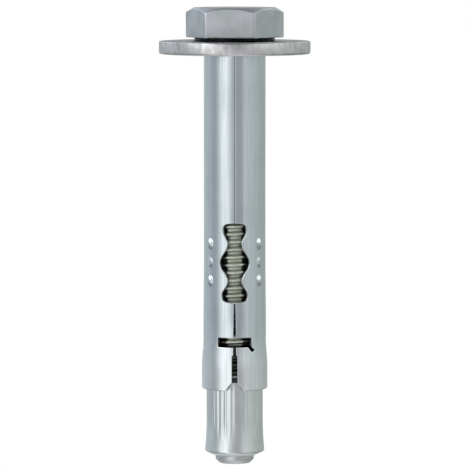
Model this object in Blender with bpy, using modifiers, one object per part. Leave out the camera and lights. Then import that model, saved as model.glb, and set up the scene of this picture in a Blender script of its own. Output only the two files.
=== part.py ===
"""Sleeve anchor: a hex head screw with a washer, a rolled sheet metal sleeve and a cone nut.

Metres, +Z up. The anchor stands on its hexagon head. The origin is the centre of the head's outer
face, and +Z runs along the screw to its tip. The front, -Y, has the sheet's butt seam with one
window, one cross slot and one slit on its line. Those three repeat every third of a turn.
"""
import math

import bmesh
import bpy
from mathutils import Matrix

MM = 0.001

# Fits
TOUCHING_GAP = 0.3 * MM
WASHER_PLAY = 0.5 * MM

# Sleeve: the sheet and the tube that it is rolled to
SLEEVE_DIAMETER = 12.0 * MM
SHEET_THICKNESS = 0.8 * MM
SLEEVE_LENGTH = 65.0 * MM
SEAM_GAP = 0.15 * MM
LEG_COUNT = 3

# Sleeve: how far its legs stand off the nominal tube, and where, measured from the leg end
WEB_LIFT = 0.11 * MM
WEB_LIFT_START = 26.0 * MM
WEB_LIFT_FULL = 13.0 * MM
LEG_SPREAD = 0.40 * MM
LEG_SPREAD_START = 10.0 * MM
LEG_SPREAD_FULL = 4.1 * MM

# Sleeve: the vase-shaped window, with places measured from its middle
WINDOW_FROM_LEG_END = 25.0 * MM
WINDOW_LENGTH = 15.4 * MM
WINDOW_BELLY_WIDTH = 6.1 * MM
WINDOW_WAIST_WIDTH = 2.8 * MM
WINDOW_WAIST_OFFSET = 3.6 * MM
WINDOW_BULB_OFFSET = 6.3 * MM
WINDOW_HEAD_BULB_WIDTH = 4.8 * MM
WINDOW_LEG_BULB_WIDTH = 5.2 * MM
WINDOW_END_SQUARENESS = 3.0
WINDOW_FLAT_STEPS = 0.5

# Sleeve: the cross slot with its hooked end
SLOT_FROM_LEG_END = 9.5 * MM
SLOT_WIDTH = 1.8 * MM
SLOT_LENGTH = 6.9 * MM
SLOT_CORNER = 0.4 * MM
HOOK_REACH = 0.8 * MM
HOOK_RISE = 1.0 * MM
HOOK_WIDTH = 0.85 * MM

# Sleeve: the slit between two legs, from the window to the V notch at the leg end
SLIT_WIDTH_AT_WINDOW = 0.2 * MM
SLIT_WIDTH_AT_SLOT = 0.5 * MM
WIDE_SLIT_WIDTH = 1.0 * MM
WIDE_SLIT_FROM_LEG_END = 7.1 * MM
WIDE_SLIT_SHOULDER = 0.25 * MM
NOTCH_DEPTH = 1.75 * MM
NOTCH_WIDTH = 3.6 * MM

# Sleeve: nubs pressed outwards on the webs between the windows
NUB_HEIGHT = 0.3 * MM
MIDDLE_NUB_HEIGHT = 0.14 * MM
NUB_WIDTH = 1.7 * MM
NUB_LENGTH = 2.3 * MM
NUB_DOME_DEPTH = 0.6 * MM

# Washer
WASHER_DIAMETER = 29.5 * MM
WASHER_THICKNESS = 2.5 * MM
WASHER_EDGE_RADIUS = 0.4 * MM

# Screw head
HEAD_ACROSS_FLATS = 16.7 * MM
HEAD_HEIGHT = 5.8 * MM
HEAD_CHAMFER_DIAMETER = 15.9 * MM
HEAD_CHAMFER_ANGLE = math.radians(30)
HEAD_TURN = math.radians(6.5)
BEARING_RING_DIAMETER = 15.6 * MM
BEARING_RING_HEIGHT = 0.4 * MM
UNDERHEAD_FILLET = 0.4 * MM

# Screw shank and point
POINT_PROTRUSION = 1.6 * MM
THREADED_LENGTH = 50.5 * MM
THREAD_DEPTH = 0.8 * MM
POINT_DIAMETER = 7.5 * MM
POINT_LENGTH = 2.3 * MM
POINT_CHAMFER = 0.7 * MM

# Cone nut, with the play of its body and its flare in a hole of the sleeve's diameter
NUT_LENGTH = 16.0 * MM
NUT_REACH_INTO_SLEEVE = 2.9 * MM
NUT_CONE_ANGLE = math.radians(6.5)
NUT_BODY_PLAY = 0.5 * MM
NUT_FLARE_PLAY = 0.175 * MM
NUT_FLARE_LENGTH = 6.4 * MM
NUT_END_TAPER = 0.6 * MM
NUT_EDGE_RADIUS = 0.35 * MM
NUT_EDGE_TURN = math.radians(65)
NUT_LIP_LENGTH = 0.35 * MM
NUT_LIP_WALL = 0.25 * MM
FLUTE_COUNT = 36
FLUTE_DEPTH = 0.15 * MM
FLUTE_RADIUS = 0.3 * MM
FLUTE_FROM_NUT_END = 2.7 * MM
FLUTE_RUN_OUT = 2.2 * MM
FLUTE_SHIFT = 0.25

# How far a cutter runs past what it cuts
CUT_OVERRUN = 1.5 * MM

# Fineness of the round shapes
ROUND_STEPS = 60
WAVE_STEPS = 5
ARC_STEPS = 4
NUB_STEPS = 10
WELD_DISTANCE = 0.001 * MM
SHARP_ANGLE = math.radians(30)

# Heights and radii that follow from the sizes above
SLEEVE_RADIUS = SLEEVE_DIAMETER / 2
SLEEVE_BORE_RADIUS = SLEEVE_RADIUS - SHEET_THICKNESS
SHANK_RADIUS = SLEEVE_BORE_RADIUS - TOUCHING_GAP
THREAD_CORE_RADIUS = SHANK_RADIUS - THREAD_DEPTH
BEARING_HEIGHT = HEAD_HEIGHT + BEARING_RING_HEIGHT
WASHER_BASE = BEARING_HEIGHT + TOUCHING_GAP
SLEEVE_BASE = WASHER_BASE + WASHER_THICKNESS + TOUCHING_GAP
LEG_END = SLEEVE_BASE + SLEEVE_LENGTH
WINDOW_MIDDLE = LEG_END - WINDOW_FROM_LEG_END
SLOT_MIDDLE = LEG_END - SLOT_FROM_LEG_END
SLEEVE_GIRTH = 2 * math.pi * SLEEVE_RADIUS
NUT_BASE = LEG_END - NUT_REACH_INTO_SLEEVE
NUT_END = NUT_BASE + NUT_LENGTH
NUT_BORE_RADIUS = THREAD_CORE_RADIUS + TOUCHING_GAP
NUT_BODY_RADIUS = SLEEVE_RADIUS - NUT_BODY_PLAY
NUT_FLARE_RADIUS = SLEEVE_RADIUS - NUT_FLARE_PLAY
SCREW_LENGTH = NUT_END + POINT_PROTRUSION
HEXAGON_HALF_SIDE_ANGLE = math.pi / 6


def clear_scene():
    """Remove every object that the file holds."""
    for item in list(bpy.data.objects):
        bpy.data.objects.remove(item, do_unlink=True)


def new_collection(name):
    """Return a new collection, linked under the scene."""
    collection = bpy.data.collections.new(name)
    bpy.context.scene.collection.children.link(collection)
    return collection


def new_material(name, colour, roughness):
    """Return a plain metal material."""
    material = bpy.data.materials.new(name)
    material.use_nodes = True
    shader = material.node_tree.nodes["Principled BSDF"]
    shader.inputs["Base Color"].default_value = (*colour, 1.0)
    shader.inputs["Metallic"].default_value = 1.0
    shader.inputs["Roughness"].default_value = roughness
    return material


def add_mesh_object(name, mesh, collection):
    """Return a new object that holds the mesh."""
    item = bpy.data.objects.new(name, mesh)
    collection.objects.link(item)
    return item


def hide_as_cutter(item):
    """Show a cutter as a wire frame and keep it out of renders."""
    item.hide_render = True
    item.display_type = "WIRE"


def evaluated_mesh(item):
    """Return a mesh of the object with its modifiers or bevel applied."""
    bpy.context.view_layer.update()
    return bpy.data.meshes.new_from_object(item.evaluated_get(bpy.context.evaluated_depsgraph_get()))


def apply_modifiers(item):
    """Turn the object's modifiers into its mesh."""
    mesh = evaluated_mesh(item)
    item.modifiers.clear()
    item.data = mesh


def weld(mesh):
    """Join vertices that lie on one another."""
    work = bmesh.new()
    work.from_mesh(mesh)
    bmesh.ops.remove_doubles(work, verts=work.verts, dist=WELD_DISTANCE)
    bmesh.ops.recalc_face_normals(work, faces=work.faces)
    work.to_mesh(mesh)
    work.free()


def curve_to_cutter(curve, name, matrix, collection):
    """Return a closed mesh cutter made from a curve, placed by the matrix."""
    source = bpy.data.objects.new(name + "_curve", curve)
    collection.objects.link(source)
    mesh = evaluated_mesh(source)
    bpy.data.objects.remove(source)
    mesh.transform(matrix)
    weld(mesh)
    cutter = add_mesh_object(name, mesh, collection)
    hide_as_cutter(cutter)
    return cutter


def turned_piece(name, profile, collection, steps=ROUND_STEPS):
    """Return a solid of revolution about Z from (radius, height) points, outer side downwards."""
    mesh = bpy.data.meshes.new(name)
    work = bmesh.new()
    corners = [work.verts.new((radius, 0.0, height)) for radius, height in profile]
    for start, end in zip(corners, corners[1:]):
        work.edges.new((start, end))
    closes_on_itself = profile[0][0] > 0
    if closes_on_itself:
        work.edges.new((corners[-1], corners[0]))
    work.to_mesh(mesh)
    work.free()
    piece = add_mesh_object(name, mesh, collection)
    screw = piece.modifiers.new("turn", "SCREW")
    screw.axis = "Z"
    screw.steps = steps
    screw.render_steps = steps
    screw.use_merge_vertices = True
    screw.merge_threshold = WELD_DISTANCE
    apply_modifiers(piece)
    weld(piece.data)
    return piece


def combine(item, tool, operation):
    """Apply one exact Boolean to the object and hide the tool."""
    boolean = item.modifiers.new(operation.lower(), "BOOLEAN")
    boolean.object = tool
    boolean.operation = operation
    boolean.solver = "EXACT"
    apply_modifiers(item)
    hide_as_cutter(tool)


def finish(item, material):
    """Give the object its material and shade its round faces smooth."""
    item.data.materials.clear()
    item.data.materials.append(material)
    item.data.shade_smooth()
    item.data.set_sharp_from_angle(angle=SHARP_ANGLE)


def arc(centre, radius, start, end, steps=ARC_STEPS):
    """Return points of an arc in the profile plane, with angles from the radial direction."""
    points = []
    for step in range(steps + 1):
        angle = start + (end - start) * step / steps
        points.append((centre[0] + radius * math.cos(angle), centre[1] + radius * math.sin(angle)))
    return points


# Hex head screw

def hex_head(collection, cutters):
    """Return the hexagon with its outer corners turned off to a chamfer."""
    mesh = bpy.data.meshes.new("head")
    corner_radius = HEAD_ACROSS_FLATS / 2 / math.cos(HEXAGON_HALF_SIDE_ANGLE)
    work = bmesh.new()
    turn = Matrix.Rotation(HEXAGON_HALF_SIDE_ANGLE + HEAD_TURN, 4, "Z")
    place = Matrix.Translation((0, 0, HEAD_HEIGHT / 2)) @ turn
    bmesh.ops.create_cone(
        work, cap_ends=True, segments=6, radius1=corner_radius, radius2=corner_radius,
        depth=HEAD_HEIGHT, matrix=place)
    work.to_mesh(mesh)
    work.free()
    head = add_mesh_object("hex_head_screw", mesh, collection)
    tool_radius = corner_radius + CUT_OVERRUN
    chamfer_rise = (tool_radius - HEAD_CHAMFER_DIAMETER / 2) * math.tan(HEAD_CHAMFER_ANGLE)
    tool_top = HEAD_HEIGHT + BEARING_RING_HEIGHT
    profile = [(0, tool_top), (tool_radius, tool_top), (tool_radius, chamfer_rise)]
    profile += [(HEAD_CHAMFER_DIAMETER / 2, 0), (0, 0)]
    combine(head, turned_piece("head_chamfer", profile, cutters), "INTERSECT")
    return head


def shank_profile():
    """Return the profile of the bearing ring, shank, thread core and point."""
    point_radius = POINT_DIAMETER / 2
    shoulder = SCREW_LENGTH - POINT_LENGTH
    neck_drop = THREAD_CORE_RADIUS - point_radius
    thread_start = shoulder - neck_drop - THREADED_LENGTH
    tip_end = [
        (0, SCREW_LENGTH),
        (point_radius - POINT_CHAMFER, SCREW_LENGTH),
        (point_radius, SCREW_LENGTH - POINT_CHAMFER),
        (point_radius, shoulder),
        (THREAD_CORE_RADIUS, shoulder - neck_drop),
        (THREAD_CORE_RADIUS, thread_start),
        (SHANK_RADIUS, thread_start - THREAD_DEPTH),
    ]
    fillet_centre = (SHANK_RADIUS + UNDERHEAD_FILLET, BEARING_HEIGHT + UNDERHEAD_FILLET)
    fillet = arc(fillet_centre, UNDERHEAD_FILLET, math.pi, math.pi * 1.5)
    ring_radius = BEARING_RING_DIAMETER / 2
    inside_head = HEAD_HEIGHT / 2
    ring = [(ring_radius, BEARING_HEIGHT), (ring_radius, inside_head), (0, inside_head)]
    return tip_end + fillet + ring


def hex_head_screw(collection, cutters):
    """Return the screw, head and shank in one."""
    screw = hex_head(collection, cutters)
    combine(screw, turned_piece("shank", shank_profile(), cutters), "UNION")
    return screw


# Washer

def washer(collection):
    """Return the stamped washer with rounded outer edges."""
    outer = WASHER_DIAMETER / 2
    bore = SHANK_RADIUS + WASHER_PLAY
    top = WASHER_BASE + WASHER_THICKNESS
    rounding = WASHER_EDGE_RADIUS
    upper_centre = (outer - rounding, top - rounding)
    lower_centre = (outer - rounding, WASHER_BASE + rounding)
    profile = [(bore, top)]
    profile += arc(upper_centre, rounding, math.pi / 2, 0)
    profile += arc(lower_centre, rounding, 0, -math.pi / 2)
    profile += [(bore, WASHER_BASE)]
    return turned_piece("washer", profile, collection)


# Expansion sleeve

def ramp(value, start, end):
    """Return a smooth step that is 0 at start and 1 at end."""
    share = min(max((value - start) / (end - start), 0.0), 1.0)
    return share * share * (3 - 2 * share)


def sleeve_radius(height):
    """Return the outer radius that the rolled sheet has at a height."""
    from_end = LEG_END - height
    lift = WEB_LIFT * ramp(from_end, WEB_LIFT_START, WEB_LIFT_FULL)
    spread = (LEG_SPREAD - WEB_LIFT) * ramp(from_end, LEG_SPREAD_START, LEG_SPREAD_FULL)
    return SLEEVE_RADIUS + lift + spread


def blank_rows():
    """Return the heights at which the blank is divided, close together where its radius changes."""
    rows = {SLEEVE_BASE, LEG_END}
    for start, end in ((WEB_LIFT_START, WEB_LIFT_FULL), (LEG_SPREAD_START, LEG_SPREAD_FULL)):
        for step in range(ARC_STEPS + 1):
            rows.add(LEG_END - start - (end - start) * step / ARC_STEPS)
    return sorted(rows)


def sheet_blank(collection):
    """Return the flat strip, x along its girth, with its outer face at y = 0 and its bore face behind."""
    mesh = bpy.data.meshes.new("expansion_sleeve")
    width = SLEEVE_GIRTH - SEAM_GAP
    work = bmesh.new()
    rows = blank_rows()
    previous = None
    for height in rows:
        line = []
        for column in range(ROUND_STEPS + 1):
            across = SEAM_GAP / 2 + width * column / ROUND_STEPS
            line.append(work.verts.new((across, 0, height)))
        if previous:
            for column in range(ROUND_STEPS):
                work.faces.new((previous[column], previous[column + 1], line[column + 1], line[column]))
        previous = line
    work.to_mesh(mesh)
    work.free()
    blank = add_mesh_object("expansion_sleeve", mesh, collection)
    solidify = blank.modifiers.new("thickness", "SOLIDIFY")
    solidify.thickness = SHEET_THICKNESS
    solidify.offset = -1.0
    apply_modifiers(blank)
    return blank


def wave(value, start, end, low, high):
    """Return half a cosine wave that runs from low at start to high at end."""
    share = (value - start) / (end - start)
    return low + (high - low) * (1 - math.cos(math.pi * share)) / 2


def window_side():
    """Return (offset, half width) points along one side of the window, head end to leg end."""
    stations = [
        (-WINDOW_BULB_OFFSET, WINDOW_HEAD_BULB_WIDTH / 2),
        (-WINDOW_WAIST_OFFSET, WINDOW_WAIST_WIDTH / 2),
        (0.0, WINDOW_BELLY_WIDTH / 2),
        (WINDOW_WAIST_OFFSET, WINDOW_WAIST_WIDTH / 2),
        (WINDOW_BULB_OFFSET, WINDOW_LEG_BULB_WIDTH / 2),
    ]
    side = []
    for (start, low), (end, high) in zip(stations, stations[1:]):
        for step in range(WAVE_STEPS):
            offset = start + (end - start) * step / WAVE_STEPS
            side.append((offset, wave(offset, start, end, low, high)))
    side.append(stations[-1])
    cap = WINDOW_LENGTH / 2 - WINDOW_BULB_OFFSET
    for sign, (_, half_width) in ((-1, stations[0]), (1, stations[-1])):
        points = []
        for step in range(1, ARC_STEPS + 1):
            angle = math.pi / 2 * step / (ARC_STEPS + WINDOW_FLAT_STEPS)
            rise = math.sin(angle) ** (2 / WINDOW_END_SQUARENESS)
            reach = math.cos(angle) ** (2 / WINDOW_END_SQUARENESS)
            points.append((sign * (WINDOW_BULB_OFFSET + cap * rise), half_width * reach))
        side = side + points if sign > 0 else points[::-1] + side
    return side


def window_outline():
    """Return the window's closed outline as (across, height) points."""
    side = window_side()
    right = [(half_width, WINDOW_MIDDLE + offset) for offset, half_width in side]
    return right + [(-across, height) for across, height in reversed(right)]


def slot_outline():
    """Return the cross slot's closed outline, with the hook at its end towards -x."""
    half = SLOT_LENGTH / 2
    low = SLOT_MIDDLE - SLOT_WIDTH / 2
    high = SLOT_MIDDLE + SLOT_WIDTH / 2
    return [
        (-half + SLOT_CORNER, low),
        (half - SLOT_CORNER, low),
        (half, low + SLOT_CORNER),
        (half, high - SLOT_CORNER),
        (half - SLOT_CORNER, high),
        (-half + HOOK_WIDTH, high),
        (-half - HOOK_REACH + HOOK_WIDTH, high + HOOK_RISE),
        (-half - HOOK_REACH, high + HOOK_RISE - SLOT_CORNER),
        (-half, high - SLOT_CORNER),
        (-half, low + SLOT_CORNER),
    ]


def slit_outline():
    """Return the outline of the slit, its wide part and the V notch at the leg end."""
    notch_flank = (NOTCH_WIDTH - WIDE_SLIT_WIDTH) / 2 / NOTCH_DEPTH
    window_end = WINDOW_MIDDLE + WINDOW_LENGTH / 2
    side = [
        (SLIT_WIDTH_AT_WINDOW / 2, window_end - CUT_OVERRUN),
        (SLIT_WIDTH_AT_WINDOW / 2, window_end),
        (SLIT_WIDTH_AT_SLOT / 2, SLOT_MIDDLE),
        (SLIT_WIDTH_AT_SLOT / 2, LEG_END - WIDE_SLIT_FROM_LEG_END),
        (WIDE_SLIT_WIDTH / 2, LEG_END - WIDE_SLIT_FROM_LEG_END + WIDE_SLIT_SHOULDER),
        (WIDE_SLIT_WIDTH / 2, LEG_END - NOTCH_DEPTH),
        (NOTCH_WIDTH / 2 + notch_flank * CUT_OVERRUN, LEG_END + CUT_OVERRUN),
    ]
    return side + [(-across, height) for across, height in reversed(side)]


def punch(name, outline, cutters):
    """Return a punch through the flat blank, with the outline on the seam and every leg's line."""
    curve = bpy.data.curves.new(name, "CURVE")
    curve.dimensions = "2D"
    curve.fill_mode = "BOTH"
    curve.extrude = SHEET_THICKNESS + CUT_OVERRUN
    for leg in range(LEG_COUNT + 1):
        shift = SLEEVE_GIRTH * leg / LEG_COUNT
        spline = curve.splines.new("POLY")
        spline.points.add(len(outline) - 1)
        for point, (across, height) in zip(spline.points, outline):
            point.co = (across + shift, height, 0, 1)
        spline.use_cyclic_u = True
    return curve_to_cutter(curve, name, Matrix.Rotation(math.pi / 2, 4, "X"), cutters)


def roll_up(blank):
    """Bend the cut blank round the Z axis, with the leg ends spread."""
    work = bmesh.new()
    work.from_mesh(blank.data)
    bmesh.ops.triangulate(work, faces=work.faces)
    for corner in work.verts:
        angle = corner.co.x / SLEEVE_RADIUS - math.pi / 2
        radius = sleeve_radius(corner.co.z) - corner.co.y
        corner.co.x = radius * math.cos(angle)
        corner.co.y = radius * math.sin(angle)
    work.to_mesh(blank.data)
    work.free()


def nub_domes(name, inset, cutters):
    """Return one oval dome for each nub, set back from the sleeve's face by the inset."""
    mesh = bpy.data.meshes.new(name)
    work = bmesh.new()
    nubs = ((-WINDOW_WAIST_OFFSET, NUB_HEIGHT), (0.0, MIDDLE_NUB_HEIGHT), (WINDOW_WAIST_OFFSET, NUB_HEIGHT))
    share_at_face = math.sqrt(1 - (1 - NUB_HEIGHT / NUB_DOME_DEPTH) ** 2)
    dome = (NUB_DOME_DEPTH, NUB_WIDTH / 2 / share_at_face, NUB_LENGTH / 2 / share_at_face)
    size = Matrix.Diagonal((*dome, 1))
    for leg in range(LEG_COUNT):
        angle = -math.pi / 2 + 2 * math.pi * (leg + 0.5) / LEG_COUNT
        for offset, height in nubs:
            level = WINDOW_MIDDLE + offset
            reach = sleeve_radius(level) + height - NUB_DOME_DEPTH - inset
            place = Matrix.Rotation(angle, 4, "Z") @ Matrix.Translation((reach, 0, level)) @ size
            bmesh.ops.create_uvsphere(
                work, u_segments=NUB_STEPS, v_segments=NUB_STEPS, radius=1, matrix=place)
    work.to_mesh(mesh)
    work.free()
    return add_mesh_object(name, mesh, cutters)


def expansion_sleeve(collection, cutters):
    """Return the sleeve: punched flat, rolled, with its nubs pressed."""
    sleeve = sheet_blank(collection)
    combine(sleeve, punch("window_punch", window_outline(), cutters), "DIFFERENCE")
    combine(sleeve, punch("slot_punch", slot_outline(), cutters), "DIFFERENCE")
    combine(sleeve, punch("slit_punch", slit_outline(), cutters), "DIFFERENCE")
    roll_up(sleeve)
    combine(sleeve, nub_domes("nub_dome", 0.0, cutters), "UNION")
    combine(sleeve, nub_domes("nub_hollow", SHEET_THICKNESS, cutters), "DIFFERENCE")
    return sleeve


# Cone nut

def nut_profile():
    """Return the profile of the nut's cone, body, flared end, lip and bore."""
    cone_slope = math.tan(NUT_CONE_ANGLE)
    seat_radius = SLEEVE_BORE_RADIUS + LEG_SPREAD - TOUCHING_GAP
    small_radius = seat_radius - cone_slope * NUT_REACH_INTO_SLEEVE
    cone_top = NUT_BASE + (NUT_BODY_RADIUS - small_radius) / cone_slope
    flare_top = NUT_END - NUT_END_TAPER - NUT_EDGE_RADIUS
    flare_start = flare_top - NUT_FLARE_LENGTH
    lip_bore = POINT_DIAMETER / 2 + TOUCHING_GAP
    lip_slope = NUT_BORE_RADIUS - lip_bore
    flare_rise = NUT_FLARE_RADIUS - NUT_BODY_RADIUS
    edge_centre = (NUT_FLARE_RADIUS - NUT_EDGE_RADIUS, flare_top)
    profile = [(lip_bore, NUT_END), (lip_bore + NUT_LIP_WALL, NUT_END)]
    profile += arc(edge_centre, NUT_EDGE_RADIUS, NUT_EDGE_TURN, 0)
    for step in range(1, WAVE_STEPS + 1):
        share = 1 - step / WAVE_STEPS
        height = flare_start + (flare_top - flare_start) * share
        profile.append((NUT_BODY_RADIUS + flare_rise * share ** 2, height))
    profile += [
        (NUT_BODY_RADIUS, cone_top),
        (small_radius, NUT_BASE),
        (NUT_BORE_RADIUS, NUT_BASE),
        (NUT_BORE_RADIUS, NUT_END - NUT_LIP_LENGTH - lip_slope),
        (lip_bore, NUT_END - NUT_LIP_LENGTH),
    ]
    return profile


def flute_cutter(cutters):
    """Return a ring of round-nosed flutes, straight along the body and running out at the flare."""
    curve = bpy.data.curves.new("flutes", "CURVE")
    curve.dimensions = "3D"
    curve.bevel_depth = FLUTE_RADIUS
    curve.bevel_resolution = 1
    curve.use_fill_caps = True
    middle = NUT_BODY_RADIUS + FLUTE_RADIUS - FLUTE_DEPTH
    clear = NUT_FLARE_RADIUS + FLUTE_RADIUS + TOUCHING_GAP
    flute_end = NUT_END - FLUTE_FROM_NUT_END
    path = [(middle, NUT_BASE), (middle, flute_end - FLUTE_RUN_OUT), (clear, flute_end)]
    for flute in range(FLUTE_COUNT):
        angle = 2 * math.pi * (flute + FLUTE_SHIFT) / FLUTE_COUNT
        spline = curve.splines.new("POLY")
        spline.points.add(len(path) - 1)
        for point, (radius, height) in zip(spline.points, path):
            point.co = (radius * math.cos(angle), radius * math.sin(angle), height, 1)
    return curve_to_cutter(curve, "flute_cutter", Matrix.Identity(4), cutters)


def cone_nut(collection, cutters):
    """Return the cone nut with its fluted body."""
    nut = turned_piece("cone_nut", nut_profile(), collection, steps=FLUTE_COUNT * 2)
    combine(nut, flute_cutter(cutters), "DIFFERENCE")
    return nut


def main():
    """Build the anchor."""
    clear_scene()
    anchor = new_collection("sheet_metal_anchor")
    cutters = new_collection("cutters")
    matt_zinc = new_material("matt_zinc", (0.46, 0.48, 0.52), 0.42)
    streaked_zinc = new_material("streaked_zinc", (0.52, 0.52, 0.54), 0.45)
    bright_zinc = new_material("bright_zinc", (0.56, 0.61, 0.65), 0.28)
    fluted_zinc = new_material("fluted_zinc", (0.58, 0.61, 0.63), 0.32)
    finish(hex_head_screw(anchor, cutters), matt_zinc)
    finish(washer(anchor), streaked_zinc)
    finish(expansion_sleeve(anchor, cutters), bright_zinc)
    finish(cone_nut(anchor, cutters), fluted_zinc)


main()
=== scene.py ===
"""Looks of a sheet metal sleeve anchor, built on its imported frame.

The anchor stands on its hexagon head, as in the frame, and the camera is turned over so that the
picture shows the head at the top. The front, -Y, has the sheet's butt seam. Lengths are in metres.
"""

import logging
import math
from dataclasses import dataclass, replace
from enum import Enum
from typing import Any

import bmesh
import bpy
import numpy as np
from mathutils import Matrix, Vector
from mathutils.geometry import delaunay_2d_cdt


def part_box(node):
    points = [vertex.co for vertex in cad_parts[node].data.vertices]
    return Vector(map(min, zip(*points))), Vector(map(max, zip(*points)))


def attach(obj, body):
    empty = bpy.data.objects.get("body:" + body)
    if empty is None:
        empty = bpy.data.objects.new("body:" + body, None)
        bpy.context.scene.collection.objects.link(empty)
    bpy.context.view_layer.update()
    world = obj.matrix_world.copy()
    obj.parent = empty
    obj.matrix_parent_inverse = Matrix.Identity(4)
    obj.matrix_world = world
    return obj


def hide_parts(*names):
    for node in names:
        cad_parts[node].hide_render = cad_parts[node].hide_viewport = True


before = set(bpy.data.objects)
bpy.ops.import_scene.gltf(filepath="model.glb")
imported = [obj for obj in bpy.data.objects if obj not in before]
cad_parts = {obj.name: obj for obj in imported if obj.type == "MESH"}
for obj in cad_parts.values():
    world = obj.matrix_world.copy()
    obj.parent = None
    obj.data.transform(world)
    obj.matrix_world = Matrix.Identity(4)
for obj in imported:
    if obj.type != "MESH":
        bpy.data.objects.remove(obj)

LOG = logging.getLogger("anchor")
MM = 0.001
FRONT = -math.pi / 2
TOUCH = 0.02 * MM


class Slot(Enum):
    """The record's material slots."""

    HEAD = "matt_zinc"
    WASHER = "streaked_zinc"
    SLEEVE = "bright_zinc"
    NUT = "fluted_zinc"


class Body(Enum):
    """The frame's bodies."""

    SCREW = "screw"
    SLEEVE = "sleeve"
    NUT = "nut"


class Tint(Enum):
    """The tints of the tent's panels, as shares of red, green and blue."""

    PLAIN = (0.98, 1.0, 1.0)
    BLUE = (0.92, 1.0, 1.05)
    VIOLET = (1.01, 1.0, 1.065)
    GREEN = (0.94, 1.01, 0.98)


# Node trees

class Tree:
    """A node tree under construction, for materials, the world and Geometry Nodes."""

    def __init__(self, tree: bpy.types.NodeTree) -> None:
        """Keep the tree."""
        self.tree = tree

    def feed(self, socket: bpy.types.NodeSocket, value: Any) -> None:
        """Link a socket to the input, or set the input to a plain value."""
        if isinstance(value, bpy.types.NodeSocket):
            self.tree.links.new(value, socket)
        else:
            socket.default_value = value

    def node(self, kind: str, inputs: dict | None = None, **settings: Any) -> bpy.types.Node:
        """Add a node.

        Args:
            kind: the node's type.
            inputs: sockets or values by the input's name or index.
            settings: the node's own settings.

        Returns:
            The new node.
        """
        node = self.tree.nodes.new(kind)
        for name, value in settings.items():
            setattr(node, name, value)
        for name, value in (inputs or {}).items():
            self.feed(node.inputs[name], value)
        return node

    def math(self, operation: str, *values: Any) -> bpy.types.NodeSocket:
        """Return the result of a Math node."""
        return self.node("ShaderNodeMath", dict(enumerate(values)), operation=operation).outputs[0]

    def plus(self, first: Any, second: Any) -> bpy.types.NodeSocket:
        """Return the sum of two values."""
        return self.math("ADD", first, second)

    def minus(self, first: Any, second: Any) -> bpy.types.NodeSocket:
        """Return the first value less the second."""
        return self.math("SUBTRACT", first, second)

    def times(self, first: Any, *others: Any) -> Any:
        """Return the product of the values."""
        for other in others:
            first = self.math("MULTIPLY", first, other)
        return first

    def vector(self, operation: str, *values: Any) -> bpy.types.NodeSocket:
        """Return the vector result of a Vector Math node."""
        inputs = {0: values[0], "Scale": values[1]} if operation == "SCALE" else dict(enumerate(values))
        return self.node("ShaderNodeVectorMath", inputs, operation=operation).outputs["Vector"]

    def parts(self, place: Any) -> Any:
        """Return the sockets of a place's parts along x, y and z."""
        return self.node("ShaderNodeSeparateXYZ", {0: place}).outputs

    def point(self, along_x: Any = 0.0, along_y: Any = 0.0, along_z: Any = 0.0) -> bpy.types.NodeSocket:
        """Return the place with these parts."""
        return self.node("ShaderNodeCombineXYZ", {0: along_x, 1: along_y, 2: along_z}).outputs[0]

    def from_axis(self, place: Any) -> bpy.types.NodeSocket:
        """Return the way from the Z axis to a place."""
        return self.vector("MULTIPLY", place, (1.0, 1.0, 0.0))

    def reach(self, place: Any) -> bpy.types.NodeSocket:
        """Return the distance of a place from the Z axis."""
        way = self.from_axis(place)
        return self.node("ShaderNodeVectorMath", {0: way}, operation="LENGTH").outputs["Value"]

    def ramp(self, value: Any, start: Any, end: Any, low: Any = 0.0, high: Any = 1.0) -> bpy.types.NodeSocket:
        """Return a smooth step from low at start to high at end."""
        inputs = {"Value": value, "From Min": start, "From Max": end, "To Min": low, "To Max": high}
        return self.node("ShaderNodeMapRange", inputs, interpolation_type="SMOOTHSTEP").outputs["Result"]

    def noise(self, place: Any, scale: float, detail: float = 3.0, seed: float = 0.0) -> bpy.types.NodeSocket:
        """Return a noise value between about 0 and 1, with the seed as its fourth dimension."""
        inputs = {"Vector": place, "Scale": scale, "Detail": detail, "W": seed}
        node = self.node("ShaderNodeTexNoise", inputs, noise_dimensions="4D")
        return node.outputs[0]

    def blend(self, share: Any, first: Any, second: Any, mode: str = "MIX") -> bpy.types.NodeSocket:
        """Return a colour mixed from two."""
        node = self.node("ShaderNodeMix", data_type="RGBA", blend_type=mode)
        for index, value in ((0, share), (6, first), (7, second)):
            self.feed(node.inputs[index], value)
        return node.outputs[2]

    def shaded(self, colour: Any, cover: Any, share: tuple[float, float, float]) -> bpy.types.NodeSocket:
        """Return the colour with only a share of it left where the cover is 1."""
        return self.blend(cover, colour, self.blend(1.0, colour, (*share, 1.0), "MULTIPLY"))


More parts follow.
